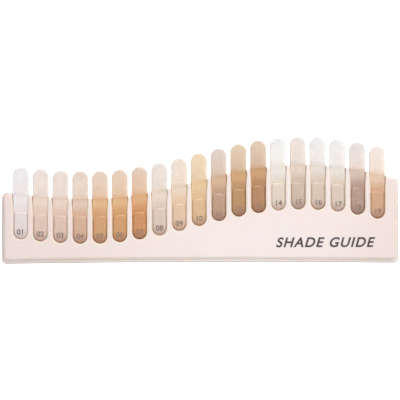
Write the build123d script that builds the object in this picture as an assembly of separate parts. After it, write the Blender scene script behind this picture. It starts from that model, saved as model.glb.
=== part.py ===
"""Dental shade guide: a two-part moulded holder with a wavy top edge and a row of pull-out shade tabs."""
import os
from math import cos, pi

from build123d import *

# Driving dimensions, in millimetres. The guide lies on its back: X runs along the row of tabs,
# Y the way the tabs point, and Z out of the front face.

# The row of tabs
tab_count = 19
tab_pitch = 10.0
left_margin = 10.4
right_margin = 11.4

# One shade tab: a flat tongue with round ends, and a thicker pad at the end inside the holder
tab_length = 36.8
tab_exposed = 14.0
tongue_width = 7.9
tongue_thickness = 1.3
tongue_edge_radius = 0.55
pad_top_from_tip = 22.2
pad_top_rise = 0.8
pad_corner_radius = 1.6
pad_height = 0.9
pad_edge_radius = 1.45

# The wave of the top edge. The lowest tab's lower end is this far above the middle of the lower edge.
lowest_tab_height = 9.3
wave_rise = 17.0
trough_from_left = 45.5
half_wave = 107.0
left_half_wave = 145.0
lower_edge_bow = 0.7

# The holder's two mouldings: a flat back cover, and a front that is hollow below the recesses
cover_thickness = 2.0
cover_edge_radius = 0.5
cover_rim = 1.8
floor_thickness = 2.9
lip_thickness = 1.5
wall = 2.0
corner_radius = 2.2
high_left_corner_radius = 3.0
front_edge_radius = 1.7
hollow_corner_radius = 1.2

# A recess: a channel under two lips, and a window between them that flares at the mouth
tab_clearance = 0.15
pad_clearance = 0.15
lip_overlap = 0.25
mouth_depth = 9.0
mouth_flare = 0.55
window_edge_break = 0.45

# The moulded pins of the cover, and the bosses of the front that they seat in
pin_count = 4
pin_from_end = 15.0
pin_diameter = 2.5
pin_length = 3.4
pin_clearance = 0.05
pin_end_clearance = 0.3
boss_diameter = 5.0

# Worked out from the sizes above. A tab and its recess are drawn about the centre of the tab's
# round lower end, so that tip_y is the tab's tip and edge_y the holder's top edge.
holder_length = left_margin + (tab_count - 1) * tab_pitch + right_margin
tab_places = [left_margin + i * tab_pitch for i in range(tab_count)]
trough_height = lowest_tab_height + tab_length - tab_exposed
floor_z = cover_thickness + floor_thickness
tongue_z = floor_z + tab_clearance
tongue_top_z = tongue_z + tongue_thickness
channel_top_z = tongue_top_z + tab_clearance
face_z = channel_top_z + lip_thickness
channel_width = tongue_width + 2 * tab_clearance
window_width = tongue_width - 2 * lip_overlap
pad_width = window_width - 2 * pad_clearance
tip_y = tab_length - tongue_width / 2
edge_y = tip_y - tab_exposed
pin_y = cover_rim + wall + boss_diameter / 2
pin_spacing = (holder_length - 2 * pin_from_end) / (pin_count - 1)
pin_places = [(pin_from_end + i * pin_spacing, pin_y) for i in range(pin_count)]
standing = (Align.CENTER, Align.CENTER, Align.MIN)


def top_edge(x):
    """Height of the holder's top edge, a distance x from its left end."""
    half = half_wave if x > trough_from_left else left_half_wave
    return trough_height + wave_rise / 2 * (1 - cos(pi * (x - trough_from_left) / half))


def seat_y(x):
    """Height of the centre of a tab's round lower end, and of the end of its recess."""
    return top_edge(x) - edge_y


def hollow_top(x):
    """Height of the top of the hollow, a wall below the recesses."""
    return seat_y(x) - channel_width / 2 - wall


def holder_plan(inset, top):
    """The holder's outline, drawn in from its ends and lower edge, up to a given top line."""
    step = (holder_length - 2 * inset) / tab_count
    stations = [inset + i * step for i in range(tab_count + 1)]
    left = stations[0]
    right = stations[-1]
    low = inset - lower_edge_bow
    with BuildSketch() as plan:
        with BuildLine():
            ThreePointArc((left, low), (holder_length / 2, inset), (right, low))
            Line((right, low), (right, top(right)))
            Spline([(x, top(x)) for x in reversed(stations)])
            Line((left, top(left)), (left, low))
        make_face()
    return plan.sketch


def high_left_edge(block):
    """The upright edge at the top left corner."""
    return block.edges().filter_by(Axis.Z).group_by(Axis.X)[0].sort_by(Axis.Y)[-1]


def holder_block(inset, top, low_z, high_z, edge_radius):
    """A plate of the holder's outline, with round corners and a round front edge."""
    block = extrude(Pos(0, 0, low_z) * holder_plan(inset, top), high_z - low_z)
    first = high_left_edge(block)
    others = [edge for edge in block.edges().filter_by(Axis.Z) if not edge.is_same(first)]
    block = fillet(others, corner_radius)
    block = fillet(high_left_edge(block), high_left_corner_radius)
    return fillet(block.faces().sort_by(Axis.Z)[-1].edges(), edge_radius)


def window_plan():
    """The window between a recess's lips: round at its lower end and flared at its mouth."""
    half = window_width / 2
    flared = half + mouth_flare
    mouth_y = edge_y - mouth_depth
    with BuildSketch() as plan:
        with BuildLine():
            ThreePointArc((-half, 0), (0, -half), (half, 0))
            Line((half, 0), (half, mouth_y))
            TangentArc((half, mouth_y), (flared, edge_y), tangent=(0, 1))
            Line((flared, edge_y), (flared, tip_y))
            Line((flared, tip_y), (-flared, tip_y))
            Line((-flared, tip_y), (-flared, edge_y))
            TangentArc((-half, mouth_y), (-flared, edge_y), tangent=(0, 1))
            Line((-half, mouth_y), (-half, 0))
        make_face()
    return plan.sketch


def make_recess():
    """The room of one recess: its channel, its window and the bevel round the window."""
    channel_plan = SlotOverall(tip_y + channel_width, channel_width, rotation=90)
    channel = extrude(Pos(0, tip_y / 2, floor_z) * channel_plan, channel_top_z - floor_z)
    window = extrude(Pos(0, 0, floor_z) * window_plan(), face_z - floor_z)
    bevel_z = face_z - window_edge_break
    bevel = extrude(Pos(0, 0, bevel_z) * window_plan(), 2 * window_edge_break, taper=-45)
    return channel + window + bevel


def make_front():
    """The front moulding, with its recesses, its hollow back and the bosses in the hollow."""
    front = holder_block(cover_rim, top_edge, cover_thickness, face_z, front_edge_radius)
    hollow_plan = holder_plan(cover_rim + wall, hollow_top)
    hollow_depth = face_z - wall - cover_thickness
    hollow = extrude(Pos(0, 0, cover_thickness) * hollow_plan, hollow_depth)
    front -= fillet(hollow.edges().filter_by(Axis.Z), hollow_corner_radius)
    boss = Cylinder(boss_diameter / 2, hollow_depth, align=standing)
    front += [Pos(x, y, cover_thickness) * boss for x, y in pin_places]
    socket = Cylinder(pin_diameter / 2 + pin_clearance, pin_length + pin_end_clearance, align=standing)
    front -= [Pos(x, y, cover_thickness) * socket for x, y in pin_places]
    recess = make_recess()
    return front - [Pos(x, seat_y(x)) * recess for x in tab_places]


def make_cover():
    """The flat back cover, with its locating pins."""
    cover = holder_block(0, top_edge, 0, cover_thickness, cover_edge_radius)
    pin = Cylinder(pin_diameter / 2, cover_thickness + pin_length, align=standing)
    return cover + [Pos(x, y) * pin for x, y in pin_places]


def pad_plan():
    """The pad's outline: round at its lower end, a shallow arc between round corners at its upper end."""
    half = pad_width / 2
    top_y = tip_y - pad_top_from_tip
    side_y = top_y - pad_top_rise
    with BuildSketch() as plan:
        with BuildLine():
            ThreePointArc((-half, 0), (0, -half), (half, 0))
            Line((half, 0), (half, side_y))
            ThreePointArc((half, side_y), (0, top_y), (-half, side_y))
            Line((-half, side_y), (-half, 0))
        make_face()
    return fillet(plan.sketch.vertices().group_by(Axis.Y)[-1], pad_corner_radius)


def make_tab():
    """One shade tab, with the centre of its round lower end above the origin."""
    tongue_plan = SlotOverall(tab_length, tongue_width, rotation=90)
    tongue = extrude(Pos(0, tip_y - tab_length / 2, tongue_z) * tongue_plan, tongue_thickness)
    tongue = fillet(tongue.faces().filter_by(Axis.Z).edges(), tongue_edge_radius)
    pad_root_z = tongue_z + tongue_thickness / 2
    pad = extrude(Pos(0, 0, pad_root_z) * pad_plan(), tongue_thickness / 2 + pad_height)
    pad = fillet(pad.faces().sort_by(Axis.Z)[-1].edges(), pad_edge_radius)
    return tongue + pad


tab = make_tab()
nodes = {"holder_front": make_front(), "back_cover": make_cover()}
for number, x in enumerate(tab_places, start=1):
    nodes[f"shade_tab_{number:02d}"] = Pos(x, seat_y(x)) * tab

# The origin is on the back face, at the middle of the guide's length and height
boxes = [solid.bounding_box() for solid in nodes.values()]
middle_x = (min(box.min.X for box in boxes) + max(box.max.X for box in boxes)) / 2
middle_y = (min(box.min.Y for box in boxes) + max(box.max.Y for box in boxes)) / 2

os.makedirs("parts", exist_ok=True)
for name, solid in nodes.items():
    placed = Pos(-middle_x, -middle_y, 0) * solid
    placed.label = name
    export_step(placed, f"parts/{name}.step")
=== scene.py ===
"""Looks of a dental shade guide: cream moulded holder, translucent resin tabs, printed numbers."""
import math
from collections import namedtuple

import bpy
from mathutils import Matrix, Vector


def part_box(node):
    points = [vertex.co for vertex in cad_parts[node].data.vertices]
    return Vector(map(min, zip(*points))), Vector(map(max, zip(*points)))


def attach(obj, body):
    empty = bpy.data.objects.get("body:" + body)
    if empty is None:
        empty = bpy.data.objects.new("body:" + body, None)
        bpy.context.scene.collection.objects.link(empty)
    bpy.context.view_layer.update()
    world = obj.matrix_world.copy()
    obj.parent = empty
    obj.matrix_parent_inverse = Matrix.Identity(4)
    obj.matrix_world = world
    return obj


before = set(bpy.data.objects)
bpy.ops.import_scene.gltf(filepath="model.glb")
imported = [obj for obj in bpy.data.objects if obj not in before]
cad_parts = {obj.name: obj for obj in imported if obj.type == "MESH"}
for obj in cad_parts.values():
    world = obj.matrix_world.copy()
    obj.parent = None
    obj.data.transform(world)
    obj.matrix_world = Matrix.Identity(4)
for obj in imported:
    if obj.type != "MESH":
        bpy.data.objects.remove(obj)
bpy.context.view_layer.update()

# Sizes are in metres, and colours as written on a screen, from 0 to 255
MM = 0.001
WHITE = (255, 255, 255)
BLACK = (0, 0, 0)

# The holder's plastic: how its tone drifts, and its moulded grain. Noise scales are per metre,
# and the roughness follows the grain's noise.
HOLDER_CREAM = (241, 229, 225)
COVER_CREAM = (247, 237, 231)
DRIFT_TONE = (226, 205, 196)
DRIFT_SHARE = 0.2
DRIFT_SCALE = 22.0
GRAIN_SCALE = 3200.0
GRAIN_DEPTH = 0.012 * MM
HOLDER_ROUGHNESS = [(0.3, 0.38), (0.7, 0.5)]

# Painted shade makes the holder a little greyer towards its ends, by these shares from left to right
END_SHADE_TONE = (224, 203, 197)
END_SHADE_SHARES = [(0.0, 0.38), (0.35, 0.0), (0.72, 0.0), (1.0, 0.3)]
HALF_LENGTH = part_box("holder_front")[1].x

# The bevels round the recesses get a painted warm highlight. They are known by their slope of 45
# degrees.
RIM_PAINTED_LIGHT = (255, 236, 217)
RIM_LIGHT_SHARES = [(0.64, 0.0), (0.68, 0.85), (0.73, 0.85), (0.77, 0.0)]

# A line of painted shade round the upper edge of the back cover, by height as a share of the seam's
COVER_SHADE_LINE_TONE = (128, 112, 108)
COVER_SHADE_LINE_SHARES = [(0.6, 0.0), (0.75, 0.8), (0.95, 0.8), (1.0, 0.0)]
SEAM_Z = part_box("holder_front")[0].z

# Kinds of free end. The resin is mixed with the glaze at the tip, and with the glow at the holder's
# edge and in the seat just inside it.
# The glow is painted light: a paler warm colour that stands in for light through the thin resin and
# lifts the shade of the recess below.
# The covers say how well it hides what is behind.
FreeEnd = namedtuple("FreeEnd", "glaze tip_share tip_cover glow edge_share edge_cover seat_share")
BLEACHED = FreeEnd((228, 238, 248), 0.42, 0.51, (253, 250, 251), 0.38, 0.49, 0.57)
CLEAR = FreeEnd((230, 240, 254), 0.55, 0.47, (250, 250, 249), 0.54, 0.44, 0.51)
FROSTY = FreeEnd((242, 246, 255), 0.58, 0.44, (255, 243, 230), 0.59, 0.43, 0.45)
ROSY = FreeEnd((246, 239, 236), 0.48, 0.48, (255, 241, 232), 0.48, 0.46, 0.53)
MILKY = FreeEnd((240, 250, 255), 0.32, 0.5, (255, 244, 232), 0.38, 0.47, 0.46)
DEEP = FreeEnd((240, 246, 250), 0.44, 0.5, (255, 226, 184), 0.38, 0.48, 0.44)
HONEY = FreeEnd((252, 238, 198), 0.42, 0.52, (255, 229, 186), 0.37, 0.52, 0.46)
AMBER = FreeEnd((252, 238, 205), 0.5, 0.49, (255, 213, 162), 0.35, 0.49, 0.39)

# The body colour of each tab's resin and the kind of its free end, from the left
SHADES = [
    ((232, 222, 221), BLEACHED), ((226, 203, 189), MILKY), ((223, 197, 183), MILKY),
    ((214, 181, 155), MILKY), ((211, 164, 121), DEEP), ((211, 162, 113), DEEP),
    ((208, 150, 99), DEEP), ((221, 203, 189), MILKY), ((227, 200, 173), MILKY),
    ((222, 190, 151), HONEY), ((193, 159, 136), DEEP), ((187, 147, 103), AMBER),
    ((182, 138, 100), AMBER), ((226, 214, 201), CLEAR), ((208, 189, 173), ROSY),
    ((217, 200, 184), CLEAR), ((220, 205, 191), CLEAR), ((184, 155, 141), FROSTY),
    ((210, 171, 139), FROSTY),
]

# Along a tab, as shares of its length from the tip. The holder's top edge is at 0.38. The free
# end's look stops a little before it, and just inside the resin hides the recess below it.
CLEAR_UNTIL = 0.33
FREE_END_AT = 0.35
COVERED_AT = 0.41
SEAT_AT = 0.455
PAD_AT = 0.57
LABEL_AT = 0.84
LOWER_END_AT = 0.97

# The resin inside the holder: how well it covers, and the painted shade it darkens to at the lower
# end.
# The lower end's share of the painted shade grows with the body's darkness.
SEAT_COVER = 0.85
PAD_COVER = 0.95
LOWER_END_SHADE = (146, 104, 90)
LABEL_SHADE_SHARE = 0.05
LOWER_END_SHADE_LEAST = 0.1
LOWER_END_SHADE_PER_DARKNESS = 1.5
LOWER_END_SHADE_MOST = 0.7

# Resin that is seen edge-on is darker and hides more. Its share grows with the facing value, which
# is 0 where the surface faces the viewer and 1 where it is side-on.
EDGE_SHADE = 0.16
EDGE_SHARES = [(0.25, 0.0), (0.95, 0.85)]

# The resin's faint surface waviness, which its roughness follows
CLOUD_SCALE = 260.0
CLOUD_DEPTH = 0.0015 * MM
RESIN_ROUGHNESS = [(0.3, 0.25), (0.7, 0.29)]

# The print on the front and on each pad
PRINT_GREY = (64, 52, 50)
NUMBER_BROWN = (98, 78, 72)
NUMBER_FADES_MOST = 0.45
INK_SCALE = 900.0
INK_UNEVENNESS = 0.12
TITLE_X = 62.4 * MM
TITLE_Y = -21.4 * MM
TITLE_HEIGHT = 4.7 * MM
NUMBER_FROM_TIP = 32.9 * MM
NUMBER_HEIGHT = 2.6 * MM
CAPITAL_SHARE_OF_FONT_SIZE = 0.69
PRINT_HALF_THICKNESS = 0.01 * MM
PRINT_SUNK_BY = 0.005 * MM

# The photograph's frame
FRAME_PIXELS = 400
SENSOR = 36.0
CAMERA_HEIGHT = 0.502
PIXELS_ACROSS_AT_CAMERA_HEIGHT = 982.0
CAMERA_Y = 0.0003
CAMERA_ROLL = math.radians(-0.17)

# The studio. The lamps fade away from the object, so the floor's lift grows there to full white.
AMBIENT = 0.25
FLOOR_SIZE = 4.0
FLOOR_BELOW = 0.2 * MM
FLOOR_LIFT = 0.45
LIFT_GROWS_FROM = 0.2
LIFT_IS_FULL_AT = 0.5


def linear(colour):
    """A written colour as linear light, with alpha."""
    parts = [c / 255 for c in colour]
    return [p / 12.92 if p < 0.04045 else ((p + 0.055) / 1.055) ** 2.4 for p in parts] + [1.0]


def mixed(a, b, share):
    """The written colour that lies the given share of the way from a to b."""
    return tuple(x + (y - x) * share for x, y in zip(a, b))


def darkness(colour):
    """How far a written colour is from white, from 0 to 1."""
    return 1 - sum(colour) / sum(WHITE)


def new_material(name):
    """A node material, with its nodes, its links and its shader."""
    material = bpy.data.materials.new(name)
    material.use_nodes = True
    nodes = material.node_tree.nodes
    return material, nodes, material.node_tree.links, nodes["Principled BSDF"]


def set_inputs(node, **values):
    """Sets a node's sockets by name, with underscores for spaces."""
    for name, value in values.items():
        node.inputs[name.replace("_", " ")].default_value = value


def object_place(nodes):
    """The surface's place in the piece's own metres."""
    return nodes.new("ShaderNodeTexCoord").outputs["Object"]


def split(nodes, links, vector):
    """The X, Y and Z outputs of a linked vector."""
    parts = nodes.new("ShaderNodeSeparateXYZ")
    links.new(vector, parts.inputs["Vector"])
    return parts.outputs


def as_share(nodes, links, value, start, end):
    """A linked value as a share of the way from start to end, held between 0 and 1."""
    ranged = nodes.new("ShaderNodeMapRange")
    set_inputs(ranged, From_Min=start, From_Max=end)
    links.new(value, ranged.inputs["Value"])
    return ranged.outputs["Result"]


def noise(nodes, links, place, scale, detail=2.0):
    """A noise texture's value over the surface."""
    texture = nodes.new("ShaderNodeTexNoise")
    set_inputs(texture, Scale=scale, Detail=detail)
    links.new(place, texture.inputs["Vector"])
    return texture.outputs["Fac"]


def ramp(nodes, links, value, stops):
    """A colour ramp with stops of (place, linear colour)."""
    node = nodes.new("ShaderNodeValToRGB")
    elements = node.color_ramp.elements
    while len(elements) < len(stops):
        elements.new(0.5)
    for element, (place, colour) in zip(elements, stops):
        element.position = place
        element.color = colour
    links.new(value, node.inputs["Fac"])
    return node.outputs["Color"]


def colour_ramp(nodes, links, value, stops):
    """A ramp with stops of (place, written colour)."""
    return ramp(nodes, links, value, [(place, linear(colour)) for place, colour in stops])


def value_ramp(nodes, links, value, stops):
    """A ramp with stops of (place, value)."""
    return ramp(nodes, links, value, [(place, (v, v, v, 1)) for place, v in stops])


def blend(nodes, links, first, second, share):
    """A mix of a linked colour and a written one, by a linked share."""
    mix = nodes.new("ShaderNodeMix")
    mix.data_type = "RGBA"
    links.new(first, mix.inputs["A"])
    mix.inputs["B"].default_value = linear(second)
    links.new(share, mix.inputs["Factor"])
    return mix.outputs["Result"]


def combine(nodes, links, operation, first, second):
    """Two linked values put together by a math node."""
    node = nodes.new("ShaderNodeMath")
    node.operation = operation
    links.new(first, node.inputs[0])
    links.new(second, node.inputs[1])
    return node.outputs["Value"]


def edge_on(nodes, links):
    """How far a surface is seen edge-on, from 0 to a part of 1."""
    facing = nodes.new("ShaderNodeLayerWeight")
    set_inputs(facing, Blend=0.5)
    return value_ramp(nodes, links, facing.outputs["Facing"], EDGE_SHARES)


def add_bump(nodes, links, shader, height, depth):
    """Raises the surface by a height value times a depth in metres."""
    bump = nodes.new("ShaderNodeBump")
    set_inputs(bump, Strength=1.0, Distance=depth)
    links.new(height, bump.inputs["Height"])
    links.new(bump.outputs["Normal"], shader.inputs["Normal"])


def holder_plastic(name, colour):
    """Cream moulded plastic with a fine spark-eroded grain and a slight drift of tone."""
    material, nodes, links, shader = new_material(name)
    place = object_place(nodes)
    x, _, z = split(nodes, links, place)
    drift = noise(nodes, links, place, DRIFT_SCALE)
    drifted = mixed(colour, DRIFT_TONE, DRIFT_SHARE)
    tone = colour_ramp(nodes, links, drift, [(0.3, drifted), (0.7, colour)])

    # Painted shade towards the holder's ends
    across = as_share(nodes, links, x, -HALF_LENGTH, HALF_LENGTH)
    tone = blend(nodes, links, tone, END_SHADE_TONE, value_ramp(nodes, links, across, END_SHADE_SHARES))
    # Painted warm highlight on the 45 degree bevels round the recesses
    slope = split(nodes, links, nodes.new("ShaderNodeTexCoord").outputs["Normal"])["Z"]
    tone = blend(nodes, links, tone, RIM_PAINTED_LIGHT, value_ramp(nodes, links, slope, RIM_LIGHT_SHARES))
    # Painted shade along the back cover's upper edge
    up = as_share(nodes, links, z, 0, SEAM_Z)
    tone = blend(nodes, links, tone, COVER_SHADE_LINE_TONE, value_ramp(nodes, links, up, COVER_SHADE_LINE_SHARES))
    links.new(tone, shader.inputs["Base Color"])

    grain = noise(nodes, links, place, GRAIN_SCALE, 3.0)
    add_bump(nodes, links, shader, grain, GRAIN_DEPTH)
    links.new(value_ramp(nodes, links, grain, HOLDER_ROUGHNESS), shader.inputs["Roughness"])
    set_inputs(
        shader,
        Subsurface_Weight=0.5,
        Subsurface_Radius=(1.0, 0.62, 0.42),
        Subsurface_Scale=1.4 * MM,
    )
    return material


def resin(name, body, free_end, tip_y, length):
    """Tooth-coloured resin: paler and clearer towards the tip, with painted light near the holder's
    edge and painted shade at the lower end.
    """
    material, nodes, links, shader = new_material(name)
    place = object_place(nodes)
    along = as_share(nodes, links, split(nodes, links, place)["Y"], tip_y, tip_y - length)
    lower_end_shade_share = min(LOWER_END_SHADE_LEAST + LOWER_END_SHADE_PER_DARKNESS * darkness(body), LOWER_END_SHADE_MOST)
    shades = colour_ramp(nodes, links, along, [
        (0.0, mixed(body, free_end.glaze, free_end.tip_share)),
        # The glow at the holder's edge and in the seat is painted light
        (FREE_END_AT, mixed(body, free_end.glow, free_end.edge_share)),
        (SEAT_AT, mixed(body, free_end.glow, free_end.seat_share)),
        (PAD_AT, body),
        # Painted shade towards the lower end, and a little at the label
        (LABEL_AT, mixed(body, LOWER_END_SHADE, LABEL_SHADE_SHARE)),
        (LOWER_END_AT, mixed(body, LOWER_END_SHADE, lower_end_shade_share)),
    ])
    edge = edge_on(nodes, links)
    shaded = blend(nodes, links, shades, mixed(body, BLACK, EDGE_SHADE), edge)
    links.new(shaded, shader.inputs["Base Color"])
    cover = value_ramp(nodes, links, along, [
        (0.0, free_end.tip_cover),
        (CLEAR_UNTIL, free_end.edge_cover),
        (COVERED_AT, SEAT_COVER),
        (PAD_AT, PAD_COVER),
    ])
    links.new(blend(nodes, links, cover, WHITE, edge), shader.inputs["Alpha"])

    cloud = noise(nodes, links, place, CLOUD_SCALE, 3.0)
    links.new(value_ramp(nodes, links, cloud, RESIN_ROUGHNESS), shader.inputs["Roughness"])
    add_bump(nodes, links, shader, cloud, CLOUD_DEPTH)
    set_inputs(
        shader,
        IOR=1.52,
        Subsurface_Weight=0.5,
        Subsurface_Radius=(1.0, 0.75, 0.5),
        Subsurface_Scale=1.0 * MM,
    )
    return material


def printed_ink(name, colour):
    """Matt pad-printed ink with slightly uneven cover."""
    material, nodes, links, shader = new_material(name)
    cover = noise(nodes, links, object_place(nodes), INK_SCALE)
    stops = [(0.35, colour), (0.65, mixed(colour, WHITE, INK_UNEVENNESS))]
    links.new(colour_ramp(nodes, links, cover, stops), shader.inputs["Base Color"])
    set_inputs(shader, Roughness=0.6)
    return material


def dress(name, material):
    """Gives a CAD node its finish."""
    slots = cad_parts[name].data.materials
    slots.clear()
    slots.append(material)


def lettering(name, words, centre, height, material, body, boldness, slant=0.0, spacing=1.0):
    """Thin printed letters that lie on a surface facing up."""
    curve = bpy.data.curves.new(name, "FONT")
    curve.body = words
    curve.align_x = "CENTER"
    curve.align_y = "CENTER"
    curve.size = height / CAPITAL_SHARE_OF_FONT_SIZE
    curve.extrude = PRINT_HALF_THICKNESS
    curve.offset = boldness
    curve.shear = slant
    curve.space_character = spacing
    letters = bpy.data.objects.new(name, curve)
    bpy.context.scene.collection.objects.link(letters)
    letters.location = centre
    curve.materials.append(material)
    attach(letters, body)


def dress_holder():
    """The two mouldings and the words on the front."""
    dress("holder_front", holder_plastic("cream_front", HOLDER_CREAM))
    dress("back_cover", holder_plastic("cream_back", COVER_CREAM))
    face_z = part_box("holder_front")[1].z
    centre = (TITLE_X, TITLE_Y, face_z - PRINT_SUNK_BY)
    ink = printed_ink("title_ink", PRINT_GREY)
    lettering(
        "front_title", "SHADE GUIDE", centre, TITLE_HEIGHT, ink, "holder",
        boldness=0.16 * MM, slant=0.28, spacing=1.17,
    )


def dress_tabs():
    """Each tab's resin and its printed number, which is fainter on a darker tab."""
    for number, (body, free_end) in enumerate(SHADES, start=1):
        name = f"shade_tab_{number:02d}"
        low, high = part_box(name)
        dress(name, resin(f"resin_{number:02d}", body, free_end, high.y, high.y - low.y))
        fade = min(darkness(body), NUMBER_FADES_MOST)
        ink = printed_ink(f"number_ink_{number:02d}", mixed(NUMBER_BROWN, body, fade))
        centre = ((low.x + high.x) / 2, high.y - NUMBER_FROM_TIP, high.z - PRINT_SUNK_BY)
        lettering(
            f"number_{number:02d}", f"{number:02d}", centre, NUMBER_HEIGHT, ink, name,
            boldness=0.08 * MM,
        )


def seen_plainly(nodes, links):
    """1 where a ray from the camera, a reflection or a clear piece meets the surface, else 0."""
    path = nodes.new("ShaderNodeLightPath").outputs
    mirrored = combine(nodes, links, "MAXIMUM", path["Is Glossy Ray"], path["Is Transmission Ray"])
    return combine(nodes, links, "MAXIMUM", path["Is Camera Ray"], mirrored)


def make_floor():
    """A white floor, lifted to plain white where seen but still darker in the object's shadow."""
    bpy.ops.mesh.primitive_plane_add(size=FLOOR_SIZE, location=(0, 0, -FLOOR_BELOW))
    floor = bpy.context.object
    floor.name = "floor"
    material, nodes, links, shader = new_material("floor_white")
    set_inputs(shader, Base_Color=(0.9, 0.9, 0.9, 1), Roughness=0.9, Specular_IOR_Level=0.0)
    distance = nodes.new("ShaderNodeVectorMath")
    distance.operation = "LENGTH"
    links.new(object_place(nodes), distance.inputs["Vector"])
    lift = nodes.new("ShaderNodeMapRange")
    set_inputs(lift, From_Min=LIFT_GROWS_FROM, From_Max=LIFT_IS_FULL_AT, To_Min=FLOOR_LIFT)
    links.new(distance.outputs["Value"], lift.inputs["Value"])
    glow = combine(nodes, links, "MULTIPLY", lift.outputs["Result"], seen_plainly(nodes, links))
    links.new(glow, shader.inputs["Emission Strength"])
    set_inputs(shader, Emission_Color=linear(WHITE))
    floor.data.materials.append(material)


def make_world():
    """Even white surroundings: plain white where seen, and a softer level where they only light."""
    world = bpy.data.worlds.new("studio")
    bpy.context.scene.world = world
    world.use_nodes = True
    nodes = world.node_tree.nodes
    links = world.node_tree.links
    lit = nodes["Background"]
    set_inputs(lit, Color=linear(WHITE), Strength=AMBIENT)
    seen = nodes.new("ShaderNodeBackground")
    set_inputs(seen, Color=linear(WHITE), Strength=1.0)
    mix = nodes.new("ShaderNodeMixShader")
    links.new(seen_plainly(nodes, links), mix.inputs["Fac"])
    links.new(lit.outputs["Background"], mix.inputs[1])
    links.new(seen.outputs["Background"], mix.inputs[2])
    links.new(mix.outputs["Shader"], nodes["World Output"].inputs["Surface"])


def make_lamp(name, place, size, power, mirrored):
    """A square soft lamp that points at the object, and may or may not show in glossy surfaces."""
    data = bpy.data.lights.new(name, "AREA")
    data.size = size
    data.energy = power
    lamp = bpy.data.objects.new(name, data)
    bpy.context.scene.collection.objects.link(lamp)
    lamp.location = place
    lamp.rotation_euler = (-Vector(place)).to_track_quat("-Z", "Y").to_euler()
    lamp.visible_glossy = mirrored


def make_camera():
    """The photograph's view: straight down on the guide from above its middle."""
    data = bpy.data.cameras.new("camera")
    data.sensor_width = SENSOR
    data.lens = SENSOR * PIXELS_ACROSS_AT_CAMERA_HEIGHT / FRAME_PIXELS
    data.clip_start = 0.01
    camera = bpy.data.objects.new("camera", data)
    bpy.context.scene.collection.objects.link(camera)
    camera.location = (0, CAMERA_Y, CAMERA_HEIGHT)
    camera.rotation_euler = (0, 0, CAMERA_ROLL)
    bpy.context.scene.camera = camera


bpy.context.scene.view_settings.view_transform = "Standard"
make_camera()
make_world()
make_floor()
make_lamp("overhead", place=(0.13, 0.02, 0.95), size=0.35, power=6.1, mirrored=False)
make_lamp("key", place=(0.05, 0.9, 0.55), size=0.35, power=4.0, mirrored=True)
dress_holder()
dress_tabs()
